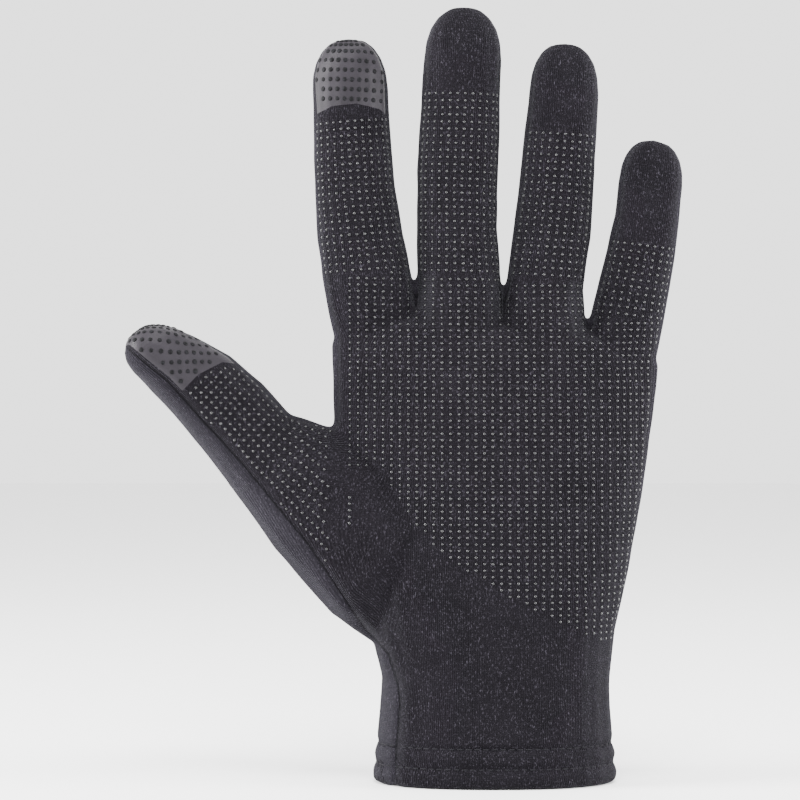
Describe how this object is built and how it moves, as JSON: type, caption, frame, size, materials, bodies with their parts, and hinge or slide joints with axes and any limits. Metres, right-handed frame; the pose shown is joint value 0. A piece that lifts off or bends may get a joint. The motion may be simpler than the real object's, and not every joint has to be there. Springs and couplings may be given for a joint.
{
  "type": "touchscreen glove",
  "caption": "Left-hand stretch-knit glove with silicone grip dots on the palm side, touch patches on the index finger and thumb, and a stitched hem.",
  "frame": {"origin": "middle of the wrist opening, at the hem's edge", "axes": "+Z from the wrist opening towards the fingertips, palm facing -Y, thumb pointing to -X"},
  "size_m": [0.1736, 0.0446, 0.2426],
  "materials": {
    "knit": "brushed stretch knit, charcoal, ribbed",
    "knit_back": "brushed stretch knit, charcoal",
    "touch_cloth": "smooth conductive cloth, satin grey",
    "thread": "sewing thread, matt black",
    "silicone_print": "raised silicone dots, glossy black"
  },
  "bodies": {
    "hand": {"palm_panel": "knit", "back_panel": "knit_back", "hem_palm_side": "knit", "hem_back_side": "knit_back", "hem_stitch_lower": "thread", "hem_stitch_upper": "thread", "index_knuckle_fold": "knit", "middle_knuckle_fold": "knit", "ring_knuckle_fold": "knit", "little_knuckle_fold": "knit", "thumb_base_fold": "knit"},
    "index_lower": {"index_lower_palm": "knit", "index_lower_back": "knit_back", "index_middle_fold": "knit"},
    "index_middle": {"index_middle_palm": "knit", "index_middle_back": "knit_back", "index_tip_fold": "knit"},
    "index_tip": {"index_touch_pad": "touch_cloth", "index_tip_back": "knit_back"},
    "middle_lower": {"middle_lower_palm": "knit", "middle_lower_back": "knit_back", "middle_middle_fold": "knit"},
    "middle_middle": {"middle_middle_palm": "knit", "middle_middle_back": "knit_back", "middle_tip_fold": "knit"},
    "middle_tip": {"middle_tip_palm": "knit", "middle_tip_back": "knit_back"},
    "ring_lower": {"ring_lower_palm": "knit", "ring_lower_back": "knit_back", "ring_middle_fold": "knit"},
    "ring_middle": {"ring_middle_palm": "knit", "ring_middle_back": "knit_back", "ring_tip_fold": "knit"},
    "ring_tip": {"ring_tip_palm": "knit", "ring_tip_back": "knit_back"},
    "little_lower": {"little_lower_palm": "knit", "little_lower_back": "knit_back", "little_middle_fold": "knit"},
    "little_middle": {"little_middle_palm": "knit", "little_middle_back": "knit_back", "little_tip_fold": "knit"},
    "little_tip": {"little_tip_palm": "knit", "little_tip_back": "knit_back"},
    "thumb_lower": {"thumb_lower_palm": "knit", "thumb_lower_back": "knit_back", "thumb_tip_fold": "knit"},
    "thumb_tip": {"thumb_touch_pad": "touch_cloth", "thumb_tip_back": "knit_back"}
  },
  "joints": [
    {"name": "index_knuckle_bend", "type": "hinge", "parent": "hand", "child": "index_lower", "pos_m": [-0.04074, -0.0035, 0.16143], "axis": [0.9973, 0, 0.0731], "range_deg": [0, 70], "stiffness_Nm_per_rad": 0.01, "deforming": ["index_knuckle_fold"]},
    {"name": "index_middle_bend", "type": "hinge", "parent": "index_lower", "child": "index_middle", "pos_m": [-0.04373, -0.0039, 0.18377], "axis": [0.9973, 0, 0.0731], "range_deg": [0, 84], "stiffness_Nm_per_rad": 0.01, "deforming": ["index_middle_fold"]},
    {"name": "index_tip_bend", "type": "hinge", "parent": "index_middle", "child": "index_tip", "pos_m": [-0.04508, -0.00516, 0.20724], "axis": [0.9973, 0, 0.0731], "range_deg": [0, 42], "stiffness_Nm_per_rad": 0.01, "deforming": ["index_tip_fold"]},
    {"name": "middle_knuckle_bend", "type": "hinge", "parent": "hand", "child": "middle_lower", "pos_m": [-0.01156, -0.0035, 0.161], "axis": [0.9997, 0, -0.0234], "range_deg": [0, 70], "stiffness_Nm_per_rad": 0.01, "deforming": ["middle_knuckle_fold"]},
    {"name": "middle_middle_bend", "type": "hinge", "parent": "middle_lower", "child": "middle_middle", "pos_m": [-0.01192, -0.00391, 0.18702], "axis": [0.9997, 0, -0.0234], "range_deg": [0, 84], "stiffness_Nm_per_rad": 0.01, "deforming": ["middle_middle_fold"]},
    {"name": "middle_tip_bend", "type": "hinge", "parent": "middle_middle", "child": "middle_tip", "pos_m": [-0.01082, -0.00509, 0.2125], "axis": [0.9997, 0, -0.0234], "range_deg": [0, 42], "stiffness_Nm_per_rad": 0.01, "deforming": ["middle_tip_fold"]},
    {"name": "ring_knuckle_bend", "type": "hinge", "parent": "hand", "child": "ring_lower", "pos_m": [0.01625, -0.0035, 0.1605], "axis": [0.9981, 0, -0.0609], "range_deg": [0, 70], "stiffness_Nm_per_rad": 0.01, "deforming": ["ring_knuckle_fold"]},
    {"name": "ring_middle_bend", "type": "hinge", "parent": "ring_lower", "child": "ring_middle", "pos_m": [0.01894, -0.00394, 0.18388], "axis": [0.9981, 0, -0.0609], "range_deg": [0, 84], "stiffness_Nm_per_rad": 0.01, "deforming": ["ring_middle_fold"]},
    {"name": "ring_tip_bend", "type": "hinge", "parent": "ring_middle", "child": "ring_tip", "pos_m": [0.02069, -0.00525, 0.20731], "axis": [0.9981, 0, -0.0609], "range_deg": [0, 42], "stiffness_Nm_per_rad": 0.01, "deforming": ["ring_tip_fold"]},
    {"name": "little_knuckle_bend", "type": "hinge", "parent": "hand", "child": "little_lower", "pos_m": [0.04234, -0.0035, 0.14992], "axis": [0.9924, 0, -0.1231], "range_deg": [0, 70], "stiffness_Nm_per_rad": 0.01, "deforming": ["little_knuckle_fold"]},
    {"name": "little_middle_bend", "type": "hinge", "parent": "little_lower", "child": "little_middle", "pos_m": [0.04585, -0.00394, 0.16661], "axis": [0.9924, 0, -0.1231], "range_deg": [0, 84], "stiffness_Nm_per_rad": 0.01, "deforming": ["little_middle_fold"]},
    {"name": "little_tip_bend", "type": "hinge", "parent": "little_middle", "child": "little_tip", "pos_m": [0.04826, -0.00524, 0.18345], "axis": [0.9924, 0, -0.1231], "range_deg": [0, 42], "stiffness_Nm_per_rad": 0.01, "deforming": ["little_tip_fold"]},
    {"name": "thumb_base_bend", "type": "hinge", "parent": "hand", "child": "thumb_lower", "pos_m": [-0.07343, -0.0035, 0.10325], "axis": [0.693, 0, 0.7209], "range_deg": [0, 45], "stiffness_Nm_per_rad": 0.01, "deforming": ["thumb_base_fold"]},
    {"name": "thumb_tip_bend", "type": "hinge", "parent": "thumb_lower", "child": "thumb_tip", "pos_m": [-0.08783, -0.00499, 0.12002], "axis": [0.693, 0, 0.7209], "range_deg": [0, 60], "stiffness_Nm_per_rad": 0.01, "deforming": ["thumb_tip_fold"]}
  ],
  "couplings": [
    {"joint": "index_tip_bend", "follows": "index_middle_bend", "ratio": 0.5},
    {"joint": "middle_tip_bend", "follows": "middle_middle_bend", "ratio": 0.5},
    {"joint": "ring_tip_bend", "follows": "ring_middle_bend", "ratio": 0.5},
    {"joint": "little_tip_bend", "follows": "little_middle_bend", "ratio": 0.5}
  ]
}
